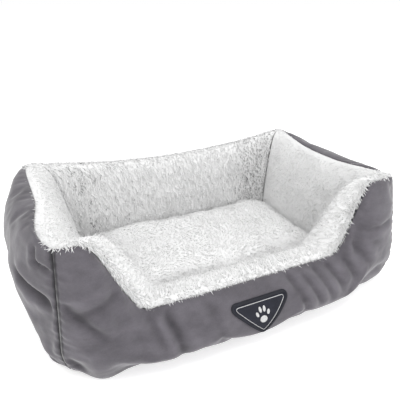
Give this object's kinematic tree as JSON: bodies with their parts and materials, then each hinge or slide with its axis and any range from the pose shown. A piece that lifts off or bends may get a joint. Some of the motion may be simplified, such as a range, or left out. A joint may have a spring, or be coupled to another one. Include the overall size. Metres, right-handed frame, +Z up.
{
  "type": "pet bed",
  "caption": "Rectangular padded bed for a small pet: four filled walls with plush inside, a low front entry, a lift-out cushion and a zip behind.",
  "frame": {"origin": "bottom centre of the bed's box, on the surface it stands on", "axes": "+X along the front wall to the right as seen from the front, +Y from the entry to the back wall, +Z up"},
  "size_m": [0.588, 0.4111, 0.1787],
  "materials": {
    "suede_panel": "brushed suede-look polyester",
    "plush_pile": "long frosted pile",
    "fibre_filling": "loose hollow-fibre",
    "base_cloth": "dotted anti-slip cloth",
    "foam": "open-cell foam sheet",
    "lining_cloth": "plain woven",
    "badge_cloth": "twill",
    "badge_thread": "merrowed thread",
    "badge_motif": "satin-stitch thread",
    "zip_tape": "herringbone tape",
    "zip_chain": "nylon coil",
    "zip_metal": "plated zinc"
  },
  "bodies": {
    "bed_shell": {"base_cloth_panel": "base_cloth", "base_foam_pad": "foam", "floor_lining": "lining_cloth", "front_panel": "suede_panel", "right_panel": "suede_panel", "back_panel": "suede_panel", "left_panel": "suede_panel", "front_plush": "plush_pile", "right_plush": "plush_pile", "back_plush": "plush_pile", "left_plush": "plush_pile", "front_filling": "fibre_filling", "right_filling": "fibre_filling", "back_filling": "fibre_filling", "left_filling": "fibre_filling", "badge_cloth": "badge_cloth", "badge_border": "badge_thread", "badge_paw": "badge_motif", "zip_tape_upper": "zip_tape", "zip_tape_lower": "zip_tape", "zip_chain": "zip_chain", "zip_end_stops": "zip_metal"},
    "zip_slider": {"zip_slider": "zip_metal"},
    "zip_pull": {"zip_pull": "zip_metal"},
    "cushion": {"cushion_plush_cover": "plush_pile", "cushion_under_cover": "suede_panel", "cushion_filling": "fibre_filling"}
  },
  "joints": [
    {"name": "cushion_lift", "type": "slide", "parent": "bed_shell", "child": "cushion", "axis": [0, 0, 1], "range_m": [0, 0.25]},
    {"name": "zip_slide", "type": "slide", "parent": "bed_shell", "child": "zip_slider", "axis": [-1, 0, 0], "range_m": [0, 0.187]},
    {"name": "pull_swing", "type": "hinge", "parent": "zip_slider", "child": "zip_pull", "pos_m": [0.09299, 0.20308, 0.058], "axis": [0, 0, 1], "range_deg": [-175, 0]}
  ]
}
